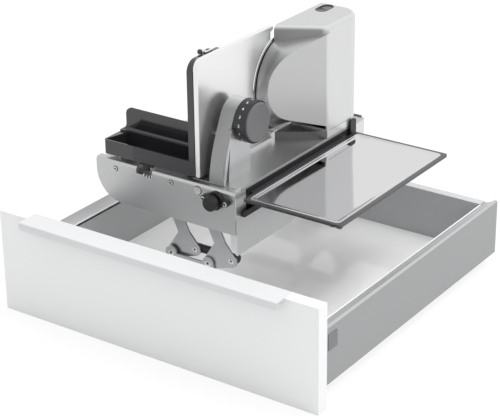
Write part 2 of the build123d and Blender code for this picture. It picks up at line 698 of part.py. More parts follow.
def housing_base():
    """Foot of the tower: its front runs oblique like the head's face, its rear right corner is round."""
    section = face_of(
        (TOWER_LEFT, BASE_LEFT_Y), (TOWER_RIGHT, FACE_Y), (TOWER_RIGHT, BASE_REAR), (TOWER_LEFT, BASE_REAR))
    rear = section.vertices().group_by(Axis.Y)[-1].sort_by(Axis.X)[-1]
    foot = along_z(fillet(rear, BASE_REAR_R), DECK_TOP, TOWER_SEAM)
    return foot - block(
        SKIRT_X - DECK_EDGE - SEAT, TOWER_RIGHT + 1, BASE_LEFT_Y, TOWER_REAR, DECK_TOP - 1, DECK_TOP + DECK_EDGE + SEAT)


def gear_plate():
    """Disc that closes the head's round left end and carries the blade's bearing."""
    disc = rod_x(AXIS_Y, AXIS_Z, RIM_R, RIM_LEFT, TOWER_LEFT)
    disc += rod_x(AXIS_Y, AXIS_Z, HUB_R + 4, TOWER_LEFT, GEAR_X - SEAT)
    return disc - rod_x(AXIS_Y, AXIS_Z, HUB_R + RUN, RIM_LEFT - 1, GEAR_X)


def motor():
    y, z = pinion_place()
    return rod_x(y, z, MOTOR_R, MOTOR_LEFT, MOTOR_RIGHT) - rod_x(y, z, SHAFT_R + RUN, MOTOR_LEFT - 1, MOTOR_LEFT + 30)


def pinion_place():
    spread = GEAR_MODULE * (GEAR_TEETH + PINION_TEETH) / 2 / math.sqrt(2)
    return AXIS_Y + spread, AXIS_Z + spread


def gear_sketch(teeth, phase):
    """Spur gear outline with straight-flanked teeth and backlash, centred on its axis."""
    pitch_r = GEAR_MODULE * teeth / 2
    root_r = pitch_r - 1.2 * GEAR_MODULE
    tip_r = pitch_r + 0.9 * GEAR_MODULE
    half_pitch = math.pi / teeth / 2
    slack = GEAR_BACKLASH / pitch_r / 2
    points = []
    for tooth in range(teeth):
        middle = phase + 2 * math.pi * tooth / teeth
        for radius, half in ((root_r, half_pitch * 1.45), (tip_r, half_pitch * 0.5)):
            points.append((radius, middle - half + slack))
        for radius, half in ((tip_r, half_pitch * 0.5), (root_r, half_pitch * 1.45)):
            points.append((radius, middle + half - slack))
    return face_of(*[(radius * math.cos(angle), radius * math.sin(angle)) for radius, angle in points])


def blade():
    disc = rod_x(AXIS_Y, AXIS_Z, BLADE_R, BLADE_X, BLADE_X + BLADE_T)
    disc = chamfer(disc.edges().filter_by(GeomType.CIRCLE).group_by(Axis.X)[0], length=0.8, length2=6.0)
    return disc - rod_x(AXIS_Y, AXIS_Z, HUB_R, BLADE_X - 1, BLADE_X + BLADE_T + 1)


def blade_gear():
    hub = rod_x(AXIS_Y, AXIS_Z, HUB_R, BLADE_X, GEAR_X)
    collar = rod_x(AXIS_Y, AXIS_Z, HUB_R + 5, BLADE_X + BLADE_T, RIM_LEFT - SEAT)
    gear = along_x(Pos(AXIS_Y, AXIS_Z) * gear_sketch(GEAR_TEETH, math.pi / 4), GEAR_X, GEAR_X + GEAR_W)
    return hub + collar + gear


def blade_screw():
    return rod_x(AXIS_Y, AXIS_Z, HUB_R + 6, BLADE_X - 0.6, BLADE_X)


def motor_rotor():
    y, z = pinion_place()
    phase = math.pi / 4 + math.pi + math.pi / PINION_TEETH
    pinion = along_x(Pos(y, z) * gear_sketch(PINION_TEETH, phase), GEAR_X, GEAR_X + GEAR_W)
    return pinion + rod_x(y, z, SHAFT_R, GEAR_X, MOTOR_LEFT + 28)


# Thickness setting

def knob_holder():
    """Upright bracket of the knob: its curved front leans up to a head that is round about the knob's axis."""
    axis = (KNOB_Y, KNOB_Z)
    front = Spline((HOLDER_FRONT, DECK_TOP), *HOLDER_CURVE, ring(axis, HOLDER_HEAD_R, HOLDER_LEAN))
    head = ThreePointArc(
        ring(axis, HOLDER_HEAD_R, HOLDER_LEAN), ring(axis, HOLDER_HEAD_R, HOLDER_LEAN / 2), ring(axis, HOLDER_HEAD_R, 0))
    rear = Polyline(
        ring(axis, HOLDER_HEAD_R, 0), (HOLDER_REAR, HOLDER_REAR_Z), (HOLDER_REAR, DECK_TOP), (HOLDER_FRONT, DECK_TOP))
    outline = make_face(front + head + rear)
    body = along_x(outline, HOLDER_LEFT, HOLDER_RIGHT)
    knob_room = Pos(*axis) * Circle(KNOB_R + NOSE_BAND)
    groove_top = ring(axis, KNOB_R + NOSE_BAND, 180)
    strip = face_of(
        (HOLDER_FRONT - 1, DECK_TOP), (HOLDER_FRONT + NOSE_GROOVE, DECK_TOP), groove_top, (groove_top[0] - 9, groove_top[1]))
    groove = face_of(
        (HOLDER_FRONT + NOSE_BAND, DECK_TOP - 1), (HOLDER_FRONT + NOSE_GROOVE, DECK_TOP - 1), groove_top)
    body += along_x((outline & strip) - knob_room, HOLDER_RIGHT - 1, NOSE_RIGHT)
    body -= along_x(groove, NOSE_FLOOR, NOSE_RIGHT + 1)
    body -= rod_x(KNOB_Y, KNOB_Z, SPINDLE_R + RUN, HOLDER_LEFT + 3, HOLDER_RIGHT + 1)
    for z in STOP_PIN_Z:
        body -= rod_x(STOP_PIN_Y, z, STOP_PIN_R + RUN, HOLDER_LEFT - 1, HOLDER_RIGHT - 0.5)
    return body


def thickness_knob():
    body = rod_x(KNOB_Y, KNOB_Z, KNOB_R, KNOB_LEFT, KNOB_RIGHT)
    body = fillet(body.edges().filter_by(GeomType.CIRCLE).group_by(Axis.X)[-1], 2.0)
    return body - rod_x(KNOB_Y, KNOB_Z, KNOB_R - 8, KNOB_RIGHT - 1.0, KNOB_RIGHT + 1)


def knob_spindle():
    spindle = rod_x(KNOB_Y, KNOB_Z, SPINDLE_R, HOLDER_LEFT + 4, KNOB_LEFT)
    cap = rod_x(KNOB_Y, KNOB_Z, KNOB_R - 8.4, KNOB_RIGHT - 1.0, KNOB_RIGHT - 0.2)
    return Compound(children=[spindle, cap])


def stop_outline(radius, centre):
    outline = face_of(
        (STOP_FRONT, STOP_BOTTOM), (STOP_BACK, STOP_BOTTOM), (STOP_BACK, STOP_TOP), (STOP_FRONT, STOP_TOP))
    outline = fillet(outline.vertices().sort_by(Axis.X)[:2].sort_by(Axis.Y)[-1], STOP_CORNER_R)
    return outline - Pos(*centre) * Circle(radius)


def stop_plate():
    """Plate that the food slides along, with a thin lip close to the blade."""
    skin = along_x(stop_outline(STOP_LIP_R, (AXIS_Y, AXIS_Z)), STOP_LEFT, STOP_LEFT + STOP_LIP_T)
    body = along_x(stop_outline(STOP_ARC_R, (STOP_ARC_Y, STOP_ARC_Z)), STOP_LEFT, STOP_LEFT + STOP_T)
    outer = [edge for edge in body.edges().group_by(Axis.X)[-1]
             if edge.center().Y < STOP_FRONT + STOP_CORNER_R or edge.center().Z > STOP_TOP - 1]
    outer = [edge for edge in outer if edge.center().Z > STOP_BOTTOM + 1]
    return skin + fillet(outer, STOP_EDGE_R)


def stop_pins():
    pins = [rod_x(STOP_PIN_Y, z, STOP_PIN_R, STOP_LEFT + STOP_T, HOLDER_LEFT + 11) for z in STOP_PIN_Z]
    return Compound(children=pins)


# Carriage

def carriage():
    """Moulded carriage: a thin-walled trough, a coved pusher wall behind it and a foot on the guide rod."""
    back = CARRIAGE_SHELF_BACK + PUSHER_T
    body = block(CARRIAGE_LEFT, FIN_LEFT, CARRIAGE_FRONT, back, CARRIAGE_BOTTOM, CARRIAGE_TOP)
    body = fillet(body.edges().filter_by(Axis.Z).group_by(Axis.Y)[0].sort_by(Axis.X)[0], CARRIAGE_EDGE_R)
    front = CARRIAGE_FRONT + CARRIAGE_WALL
    trough = face_of(
        (CARRIAGE_LEFT + CARRIAGE_WALL, front), (FIN_LEFT - TROUGH_END, front), (FIN_LEFT - TROUGH_END, TROUGH_BACK),
        (TROUGH_LEFT, TROUGH_BACK))
    trough = fillet(trough.vertices().group_by(Axis.Y)[0].sort_by(Axis.X)[-1], TROUGH_R)
    body -= along_z(trough, CARRIAGE_BOTTOM + CARRIAGE_FLOOR, CARRIAGE_TOP + 1)
    foot = block(GUIDE_X - 9, GUIDE_X + 9, FOOT_FRONT, FOOT_BACK, GUIDE_Z - 9, CARRIAGE_BOTTOM)
    foot += block(GUIDE_X - 9, GUIDE_X + 9, FOOT_FRONT, FOOT_BACK, CARRIAGE_BOTTOM, CARRIAGE_BOTTOM + 4)
    foot -= rod_y(GUIDE_X, GUIDE_Z, GUIDE_R + RUN, FOOT_FRONT - 1, FOOT_BACK + 1)
    return body + pusher_wall() + foot


def pusher_wall():
    """Wall behind the trough: a ledge, a cove and a groove in section, and a flared left end."""
    back = CARRIAGE_SHELF_BACK + PUSHER_T
    face = CARRIAGE_SHELF_BACK + COVE_R - 1
    cove = RadiusArc((CARRIAGE_SHELF_BACK - 1, LEDGE_Z), (face, LEDGE_Z + COVE_R), -COVE_R)
    ring_of = Polyline(
        (face, LEDGE_Z + COVE_R), (face, PUSHER_TOP), (back, PUSHER_TOP), (back, CARRIAGE_TOP),
        (TROUGH_BACK, CARRIAGE_TOP), (TROUGH_BACK, LEDGE_Z), (CARRIAGE_SHELF_BACK - 1, LEDGE_Z))
    wall = along_x(make_face(cove + ring_of), CARRIAGE_LEFT, FIN_LEFT)
    wall = fillet(wall.edges().filter_by(Axis.X).group_by(Axis.Z)[-1], (back - face) / 2 - 0.1)
    flare = ThreePointArc(
        (CARRIAGE_LEFT, LEDGE_Z), (PUSHER_LEFT - 2.4, LEDGE_Z + 3.6), (PUSHER_LEFT, FLARE_TOP))
    outline = make_face(flare + Polyline(
        (PUSHER_LEFT, FLARE_TOP), (PUSHER_LEFT, PUSHER_TOP), (FIN_LEFT, PUSHER_TOP), (FIN_LEFT, CARRIAGE_TOP),
        (CARRIAGE_LEFT, CARRIAGE_TOP), (CARRIAGE_LEFT, LEDGE_Z)))
    outline = fillet(outline.vertices().group_by(Axis.Y)[-1].sort_by(Axis.X)[0], PUSHER_CORNER_R)
    wall &= along_y(outline, TROUGH_BACK - 1, back + 1)
    groove = Pos((GROOVE_LEFT + FIN_LEFT) / 2, GROOVE_LOW + GROOVE_H / 2) * RectangleRounded(
        FIN_LEFT - GROOVE_LEFT, GROOVE_H, GROOVE_H / 2 - 0.2)
    return wall - along_y(groove, face - 1, face + GROOVE_DEPTH)


def carriage_fin():
    """Upright wall of the carriage beside the stop plate."""
    outline = face_of(
        (FIN_FRONT, FIN_BOTTOM), (FIN_BACK, FIN_BOTTOM), (FIN_BACK, FIN_TOP), (FIN_FRONT, FIN_TOP))
    outline = fillet(outline.vertices().sort_by(Axis.X)[:2].sort_by(Axis.Y)[-1], FIN_CORNER_R)
    return along_x(outline, FIN_LEFT, FIN_RIGHT)


def carriage_catch():
    middle = (SLOT_LEFT + SLOT_RIGHT) / 2
    return block(middle - 14, middle + 14, PLATE_Y + 3, PLATE_Y + 9, PLATE_TOP - 6, CARRIAGE_BOTTOM) + block(
        middle - 14, middle + 14, PLATE_Y + 3, CARRIAGE_FRONT + 6, CARRIAGE_BOTTOM - 3, CARRIAGE_BOTTOM)


def food_clip():
    """Silver clip with a dark knob at the top of the carriage's wall."""
    clip = block(FIN_LEFT - 6, FIN_LEFT, 200, 240, FIN_TOP - 22, FIN_TOP + 3)
    return clip + rod_z(FIN_LEFT - 3, 210, 2.5, FIN_TOP + 3, FIN_TOP + 7)


# Tray

def tray_outline(inset, radius):
    width = TRAY_RIGHT - TRAY_LEFT - 2 * inset
    depth = TRAY_BACK - TRAY_FRONT - 2 * inset
    centre = Pos((TRAY_LEFT + TRAY_RIGHT) / 2, (TRAY_FRONT + TRAY_BACK) / 2)
    return centre * RectangleRounded(width, depth, radius)


def tray_frame():
    low = TRAY_TOP - TRAY_H
    frame = along_z(tray_outline(0, 4.0), low, TRAY_TOP)
    frame -= along_z(tray_outline(6, 8.0), low + 2.0, TRAY_TOP + 1)
    hook = along_y(face_of(
        (SKIRT_X + SEAT, TRAY_TOP - 0.5), (SKIRT_X + SEAT, TRAY_RAIL_TOP - TRAY_RAIL_LIP + SEAT),
        (SKIRT_X + 4.7, TRAY_RAIL_TOP - TRAY_RAIL_LIP + SEAT), (SKIRT_X + 4.7, low), (TRAY_LEFT + 3, low),
        (TRAY_LEFT + 3, TRAY_TOP - 0.5)),
        TRAY_FRONT + 30, TRAY_BACK - 30)
    feet = [block(x, x + 7, TRAY_FRONT + 3, TRAY_FRONT + 9, low - 2.5, low) for x in (TRAY_RIGHT - 20, TRAY_RIGHT - 8)]
    return frame + hook + feet[0] + feet[1]


def tray_insert():
    low = TRAY_TOP - TRAY_H + 2.0
    insert = along_z(tray_outline(6 + SEAT, 7.7), low, TRAY_TOP + 0.6)
    insert -= along_z(tray_outline(14, 8.0), low + 0.8, TRAY_TOP + 1)
    return chamfer(insert.edges().group_by(Axis.Z)[-1], INSERT_BEVEL)


PIECES = {
    "drawer_front": drawer_front(),
    "handle_rail": handle_rail(),
    "side_left": side_left(),
    "side_right": mirrored(side_left()),
    "bottom_panel": bottom_panel(),
    "back_panel": back_panel(),
    "side_covers": side_covers(),
    "front_fixings": front_fixings(),
    "base_bracket_front": base_bracket(BRACKET_Y),
    "base_bracket_rear": flipped(base_bracket(BRACKET_Y)),
    "base_pins": base_pins(),
    "base_screws": base_screws(),
    "arm_front_left": arm(PIVOT_X, LEFT_ARM_Y),
    "arm_rear_left": flipped(arm(PIVOT_X, LEFT_ARM_Y)),
    "cross_tube_left": cross_tube(PIVOT_X, LEFT_ARM_Y),
    "sync_pin_left": sync_pin(PIVOT_X, LEFT_ARM_Y),
    "arm_front_right": arm(PIVOT_X + PIVOT_STEP, ARM_Y),
    "arm_rear_right": flipped(arm(PIVOT_X + PIVOT_STEP, ARM_Y)),
    "cross_tube_right": cross_tube(PIVOT_X + PIVOT_STEP, ARM_Y),
    "sync_pin_right": sync_pin(PIVOT_X + PIVOT_STEP, ARM_Y),
    "sync_rod": sync_rod(),
    "front_plate": front_plate(),
    "rear_plate": rear_plate(),
    "side_skirt": side_skirt(),
    "crossbeam_front": crossbeam(),
    "crossbeam_rear": flipped(crossbeam()),
    "tube_bushes": tube_bushes(),
    "guide_rod": guide_rod(),
    "glide_rail": glide_rail(),
    "deck_plate": deck_plate(),
    "corner_bracket": corner_bracket(),
    "tray_rail": tray_rail(),
    "chassis_screws": chassis_screws(),
    "axle_disc": axle_disc(),
    "release_housing": release_housing(),
    "release_button": release_button(),
    "rear_post": rear_post(),
    "housing_base": housing_base(),
    "motor_housing": motor_housing(),
    "gear_plate": gear_plate(),
    "switch_bezel": switch_bezel(),
    "switch_button": switch_button(),
    "motor": motor(),
    "motor_rotor": motor_rotor(),
    "blade": blade(),
    "blade_gear": blade_gear(),
    "blade_screw": blade_screw(),
    "knob_holder": knob_holder(),
    "thickness_knob": thickness_knob(),
    "knob_spindle": knob_spindle(),
    "stop_plate": stop_plate(),
    "stop_pins": stop_pins(),
    "carriage": carriage(),
    "carriage_fin": carriage_fin(),
    "carriage_catch": carriage_catch(),
    "food_clip": food_clip(),
    "tray_frame": tray_frame(),
    "tray_insert": tray_insert(),
}

for name, shape in PIECES.items():
    placed = Pos(-ORIGIN[0], -ORIGIN[1], -ORIGIN[2]) * shape
    export_step(placed, f"parts/{name}.step")

print(len(PIECES), "nodes")
print("origin in the drawer frame", ORIGIN)
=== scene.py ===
import json
import math

import bmesh
import bpy
from mathutils import Matrix, Vector


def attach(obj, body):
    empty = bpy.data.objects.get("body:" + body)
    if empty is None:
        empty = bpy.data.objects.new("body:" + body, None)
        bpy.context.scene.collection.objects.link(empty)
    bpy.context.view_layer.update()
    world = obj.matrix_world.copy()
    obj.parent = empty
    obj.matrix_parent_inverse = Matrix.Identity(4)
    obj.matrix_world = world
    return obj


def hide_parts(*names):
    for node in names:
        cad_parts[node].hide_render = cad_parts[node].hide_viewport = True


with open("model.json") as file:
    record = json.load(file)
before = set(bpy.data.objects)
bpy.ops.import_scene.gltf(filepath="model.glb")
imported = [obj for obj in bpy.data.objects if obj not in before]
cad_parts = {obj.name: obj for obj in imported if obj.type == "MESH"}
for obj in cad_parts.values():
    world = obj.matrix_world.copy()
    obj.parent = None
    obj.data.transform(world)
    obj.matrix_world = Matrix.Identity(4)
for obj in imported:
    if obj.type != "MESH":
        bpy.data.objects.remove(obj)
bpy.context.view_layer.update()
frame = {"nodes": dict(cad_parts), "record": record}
nodes = frame["nodes"]


# Camera: the photograph's viewpoint, found from the drawer's edges

IMAGE_W = 500
IMAGE_H = 416
CAMERA_PLACE = Vector((1.4150, -2.0249, 1.2805))
CAMERA_AZIMUTH = math.radians(34.370)
CAMERA_ELEVATION = math.radians(24.241)
CAMERA_ROLL = math.radians(-0.4237)
FOCAL_PIXELS = 1686.74
CENTRE_PIXEL = (272.48, 194.63)
SENSOR = 36.0
VIEW_END = 50


def make_camera():
    """Place and turn the camera, with the shift that puts the photograph's centre where it was."""
    azimuth = CAMERA_AZIMUTH
    elevation = CAMERA_ELEVATION
    back = Vector((math.sin(azimuth) * math.cos(elevation), -math.cos(azimuth) * math.cos(elevation),
                   math.sin(elevation)))
    level = Vector((math.cos(azimuth), math.sin(azimuth), 0))
    rise = back.cross(level)
    right = math.cos(CAMERA_ROLL) * level + math.sin(CAMERA_ROLL) * rise
    up = math.cos(CAMERA_ROLL) * rise - math.sin(CAMERA_ROLL) * level
    data = bpy.data.cameras.new("camera")
    data.sensor_width = SENSOR
    data.lens = FOCAL_PIXELS / IMAGE_W * SENSOR
    data.shift_x = (IMAGE_W / 2 - CENTRE_PIXEL[0]) / IMAGE_W
    data.shift_y = (CENTRE_PIXEL[1] - IMAGE_H / 2) / IMAGE_W
    data.clip_end = VIEW_END
    camera = bpy.data.objects.new("camera", data)
    turn = Matrix((right, up, back)).transposed().to_4x4()
    camera.matrix_world = Matrix.Translation(CAMERA_PLACE) @ turn
    bpy.context.scene.collection.objects.link(camera)
    bpy.context.scene.camera = camera


# Shader helpers

def combine(tree, operation, first, second):
    """The result of a Math node. Each input is a socket or a number."""
    node = tree.nodes.new("ShaderNodeMath")
    node.operation = operation
    for socket, value in zip(node.inputs, (first, second)):
        if isinstance(value, float):
            socket.default_value = value
        else:
            tree.links.new(value, socket)
    return node.outputs[0]


def ranged(tree, value, to_low, to_high, from_low=0.0, from_high=1.0):
    """The result of a Map Range node, which stays between its two ends."""
    node = tree.nodes.new("ShaderNodeMapRange")
    node.inputs["From Min"].default_value = from_low
    node.inputs["From Max"].default_value = from_high
    node.inputs["To Min"].default_value = to_low
    node.inputs["To Max"].default_value = to_high
    tree.links.new(value, node.inputs["Value"])
    return node.outputs[0]


def noise(tree, place, scale, detail):
    """A fine noise over the object."""
    node = tree.nodes.new("ShaderNodeTexNoise")
    node.inputs["Scale"].default_value = scale
    node.inputs["Detail"].default_value = detail
    tree.links.new(place, node.inputs["Vector"])
    return node.outputs["Fac"]


def seen_directly(tree):
    """1 where a ray comes from the camera, a mirror or glass."""
    path = tree.nodes.new("ShaderNodeLightPath")
    seen = combine(tree, "MAXIMUM", path.outputs["Is Camera Ray"], path.outputs["Is Glossy Ray"])
    return combine(tree, "MAXIMUM", seen, path.outputs["Is Transmission Ray"])


# Studio

WORLD_COLOR = (1, 1, 1, 1)
WORLD_FILL = 0.93
FLOOR_SIZE = 30
FLOOR_COLOR = (0.9, 0.9, 0.9, 1)
FLOOR_GLOW = 0.86


def area_light(name, place, target, side, power):
    """A square lamp that faces a target and leaves no hot spot in the metals."""
    data = bpy.data.lights.new(name, "AREA")
    data.shape = "SQUARE"
    data.size = side
    data.energy = power
    light = bpy.data.objects.new(name, data)
    place = Vector(place)
    facing = (Vector(target) - place).to_track_quat("-Z", "Y")
    light.matrix_world = Matrix.Translation(place) @ facing.to_matrix().to_4x4()
    light.visible_glossy = False
    bpy.context.scene.collection.objects.link(light)


def make_world():
    """A world that shows as white and gives a little less light than that."""
    world = bpy.data.worlds.new("studio")
    world.use_nodes = True
    bpy.context.scene.world = world
    tree = world.node_tree
    background = tree.nodes["Background"]
    background.inputs["Color"].default_value = WORLD_COLOR
    tree.links.new(ranged(tree, seen_directly(tree), WORLD_FILL, 1.0), background.inputs["Strength"])


def make_floor():
    """A pale floor that shows as white apart from the object's shadow."""
    bpy.ops.mesh.primitive_plane_add(size=FLOOR_SIZE)
    floor = bpy.context.object
    floor.name = "floor"
    material = bpy.data.materials.new("floor")
    material.use_nodes = True
    tree = material.node_tree
    tree.nodes.clear()
    paper = tree.nodes.new("ShaderNodeBsdfDiffuse")
    paper.inputs["Color"].default_value = FLOOR_COLOR
    glow = tree.nodes.new("ShaderNodeEmission")
    blend = tree.nodes.new("ShaderNodeMixShader")
    share = combine(tree, "MULTIPLY", seen_directly(tree), FLOOR_GLOW)
    out = tree.nodes.new("ShaderNodeOutputMaterial")
    for socket, target in (
            (share, blend.inputs[0]), (paper.outputs[0], blend.inputs[1]), (glow.outputs[0], blend.inputs[2]),
            (blend.outputs[0], out.inputs["Surface"])):
        tree.links.new(socket, target)
    floor.data.materials.append(material)


make_camera()
make_world()
make_floor()
area_light("key", (-2.3, 0.1, 1.9), (0.15, 0, 0.05), 1.4, 20)
area_light("top", (0.9, 0.2, 2.4), (0.25, 0, 0), 1.4, 30)
area_light("rear", (1.3, 1.5, 2.3), (0.2, 0, 0), 1.6, 26)


# Materials

GRAIN_DETAIL = 4
BUMP_DETAIL = 2
BUMP_DEPTH = 0.0002
ROUGHNESS_SPREAD = 0.15
COAT_ROUGHNESS = 0.03


def by_normal(tree, toward, low, high, factor, heights=None):
    """A painted shade: a value that falls from 1 to factor where the surface faces a direction, in the
    object's own axes.

    It falls between the cosines low and high. Where two heights are given, in metres, it sets in between
    them, from none at the first to all at the second.
    """
    place = tree.nodes.new("ShaderNodeTexCoord")
    dot = tree.nodes.new("ShaderNodeVectorMath")
    dot.operation = "DOT_PRODUCT"
    dot.inputs[1].default_value = Vector(toward).normalized()
    tree.links.new(place.outputs["Normal"], dot.inputs[0])
    share = ranged(tree, dot.outputs["Value"], 0.0, 1 - factor, low, high)
    if heights is not None:
        split = tree.nodes.new("ShaderNodeSeparateXYZ")
        tree.links.new(place.outputs["Object"], split.inputs[0])
        share = combine(tree, "MULTIPLY", share, ranged(tree, split.outputs["Z"], 0.0, 1.0, *heights))
    return combine(tree, "SUBTRACT", 1.0, share)


def surface(name, color, roughness, metallic=0.0, grain=(400, 0.02), bump=(600, 0.03), coat=0.0, painted_shades=()):
    """A shader whose colour and roughness vary a little with a fine noise, and whose bump has its own scale.

    grain and bump are (scale of the noise, strength), and each shade in the list is a painted shade that
    darkens the colour where the surface faces a given way.
    """
    material = bpy.data.materials.new(name)
    material.use_nodes = True
    tree = material.node_tree
    shader = tree.nodes["Principled BSDF"]
    shader.inputs["Metallic"].default_value = metallic
    shader.inputs["Coat Weight"].default_value = coat
    shader.inputs["Coat Roughness"].default_value = COAT_ROUGHNESS
    place = tree.nodes.new("ShaderNodeTexCoord").outputs["Object"]
    spots = noise(tree, place, grain[0], GRAIN_DETAIL)
    level = ranged(tree, spots, 1 - grain[1], 1 + grain[1])
    # Painted shade: darken the colour by the way each surface faces
    for shade in painted_shades:
        level = combine(tree, "MULTIPLY", level, by_normal(tree, **shade))
    tint = tree.nodes.new("ShaderNodeVectorMath")
    tint.operation = "SCALE"
    tint.inputs[0].default_value = color
    tree.links.new(level, tint.inputs["Scale"])
    tree.links.new(tint.outputs[0], shader.inputs["Base Color"])
    rough = ranged(tree, spots, roughness * (1 - ROUGHNESS_SPREAD), roughness * (1 + ROUGHNESS_SPREAD))
    tree.links.new(rough, shader.inputs["Roughness"])
    relief = tree.nodes.new("ShaderNodeBump")
    relief.inputs["Strength"].default_value = bump[1]
    relief.inputs["Distance"].default_value = BUMP_DEPTH
    tree.links.new(noise(tree, place, bump[0], BUMP_DETAIL), relief.inputs["Height"])
    tree.links.new(relief.outputs[0], shader.inputs["Normal"])
    return material


BRUSHED = (900, 0.03)
BRUSHED_BUMP = (900, 0.05)
# Painted shade on the motor housing: each entry darkens the colour where a face looks one way
TOWER_PAINTED_SHADE = (
    # Painted shade on the front of the cap, above its lower edge
    dict(toward=(0.3, -0.95, 0), low=0.74, high=0.96, factor=0.38, heights=(0.3816, 0.3820)),
    # Painted shade on the upright edge between the front and the right
    dict(toward=(0.874, -0.485, 0), low=0.97, high=0.995, factor=0.8),
    # Painted shade on the inner wall of the head, below the cap's upper edge
    dict(toward=(0.1, -0.8, 0.6), low=0.78, high=0.99, factor=0.36, heights=(0.4060, 0.4055)),
    # Painted shade on what faces down
    dict(toward=(0.4, -0.4, -0.8), low=0.75, high=0.95, factor=0.5),
    # Painted shade on the top
    dict(toward=(0, 0, 1), low=0.9, high=0.99, factor=0.86),
)
# Painted shade on the front of the tower's foot
BASE_PAINTED_SHADE = (
    dict(toward=(0.52, -0.85, 0), low=0.9, high=0.97, factor=0.25),
)
HOLDER_PAINTED_SHADE = (
    # Painted shade on the side next to the stop plate, almost black, then on the front
    dict(toward=(-1, 0, 0), low=0.7, high=0.95, factor=0.02),
    dict(toward=(0, -1, 0.25), low=0.3, high=0.88, factor=0.42),
)
# Painted shade on the outer face of the drawer's right side
RIGHT_PAINTED_SHADE = (
    dict(toward=(1, 0, 0), low=0.9, high=0.99, factor=0.72),
)
FINISHES = {
    "white_lacquer": dict(color=(0.70, 0.706, 0.71), roughness=0.12, coat=0.6, bump=(60, 0.01)),
    "handle_white": dict(color=(0.56, 0.57, 0.58), roughness=0.3),
    # Darker copy of the silver for the slicer's front plate: painted shade
    "front_plate_silver_painted_shade": dict(
        color=(0.53, 0.533, 0.536), roughness=0.3, metallic=0.9, grain=BRUSHED, bump=BRUSHED_BUMP),
    "side_grey": dict(color=(0.44, 0.445, 0.45), roughness=0.4, metallic=0.3),
    # Copy of the side grey for the right side, darker on its outer face: painted shade
    "right_side_grey_painted_shade": dict(color=(0.4, 0.405, 0.41), roughness=0.4, metallic=0.3, painted_shades=RIGHT_PAINTED_SHADE),
    "board_white": dict(color=(0.93, 0.93, 0.93), roughness=0.25, coat=0.8),
    "back_grey": dict(color=(0.46, 0.47, 0.48), roughness=0.5),
    "cover_grey": dict(color=(0.16, 0.16, 0.17), roughness=0.5),
    "zinc": dict(color=(0.5, 0.5, 0.5), roughness=0.5, metallic=0.8),
    "steel": dict(color=(0.42, 0.425, 0.43), roughness=0.3, metallic=0.9),
    "tube_chrome": dict(color=(0.75, 0.75, 0.77), roughness=0.15, metallic=1.0),
    "dark_rod": dict(color=(0.03, 0.03, 0.035), roughness=0.35, metallic=0.5),
    "silver": dict(color=(0.7, 0.705, 0.71), roughness=0.3, metallic=0.85, grain=BRUSHED, bump=BRUSHED_BUMP),
    "aluminium": dict(color=(0.66, 0.66, 0.67), roughness=0.4, metallic=0.8),
    "black_plastic": dict(color=(0.008, 0.008, 0.009), roughness=0.45),
    "anthracite": dict(color=(0.02, 0.02, 0.023), roughness=0.16, coat=0.5, bump=(900, 0.02)),
    "bush_plastic": dict(color=(0.7, 0.7, 0.66), roughness=0.45),
    "blade_steel": dict(color=(0.75, 0.75, 0.77), roughness=0.22, metallic=1.0),
    "mirror_steel": dict(color=(0.7, 0.7, 0.71), roughness=0.06, metallic=1.0),
    "motor_steel": dict(color=(0.35, 0.35, 0.35), roughness=0.4, metallic=0.8),
    # The tower, its foot and the knob holder: silver, darker where a face looks certain ways: painted shade
    "tower_silver_painted_shade": dict(
        color=(0.67, 0.673, 0.676), roughness=0.3, metallic=0.85, grain=BRUSHED, bump=BRUSHED_BUMP,
        painted_shades=TOWER_PAINTED_SHADE),
    "base_silver_painted_shade": dict(
        color=(0.72, 0.725, 0.73), roughness=0.3, metallic=0.85, grain=BRUSHED, painted_shades=BASE_PAINTED_SHADE),
    "holder_silver_painted_shade": dict(
        color=(0.7, 0.705, 0.71), roughness=0.3, metallic=0.85, grain=BRUSHED, painted_shades=HOLDER_PAINTED_SHADE),
    # Lighter copy of the silver for the stop plate: painted light
    "stop_plate_silver_painted_light": dict(
        color=(0.84, 0.843, 0.846), roughness=0.3, metallic=0.88, grain=BRUSHED, bump=(900, 0.04)),
    # Darker copies of the silver for the deck and the rear plate: painted shade
    "deck_silver_painted_shade": dict(color=(0.5, 0.503, 0.506), roughness=0.3, metallic=0.85, grain=BRUSHED),
    "rear_plate_silver_painted_shade": dict(color=(0.25, 0.25, 0.26), roughness=0.3, metallic=0.85, grain=BRUSHED),
    "dial_side": dict(color=(0.016, 0.016, 0.018), roughness=0.3, bump=(900, 0.1)),
    "dial_face": dict(color=(0.13, 0.13, 0.135), roughness=0.35, metallic=0.2, bump=BRUSHED_BUMP),
    # Light grey for the dial's printed numbers, and also a painted highlight along the lips of the drawer's
    # sides
    "print_and_highlight": dict(color=(0.75, 0.75, 0.76), roughness=0.5),
    "screw_steel": dict(color=(0.62, 0.62, 0.63), roughness=0.25, metallic=1.0),
    # Near black: painted shade in sunk drives, pin ends, the clip's hole and the gap under the drawer's lips,
    # and painted shadow round the plate screws and the disc
    "hollow": dict(color=(0.012, 0.012, 0.013), roughness=0.6),
    "frame_plastic": dict(color=(0.03, 0.03, 0.033), roughness=0.2, coat=0.2),
    "switch_field": dict(color=(0.035, 0.035, 0.037), roughness=0.25, coat=0.3),
}
materials = {name: surface(name, **finish) for name, finish in FINISHES.items()}

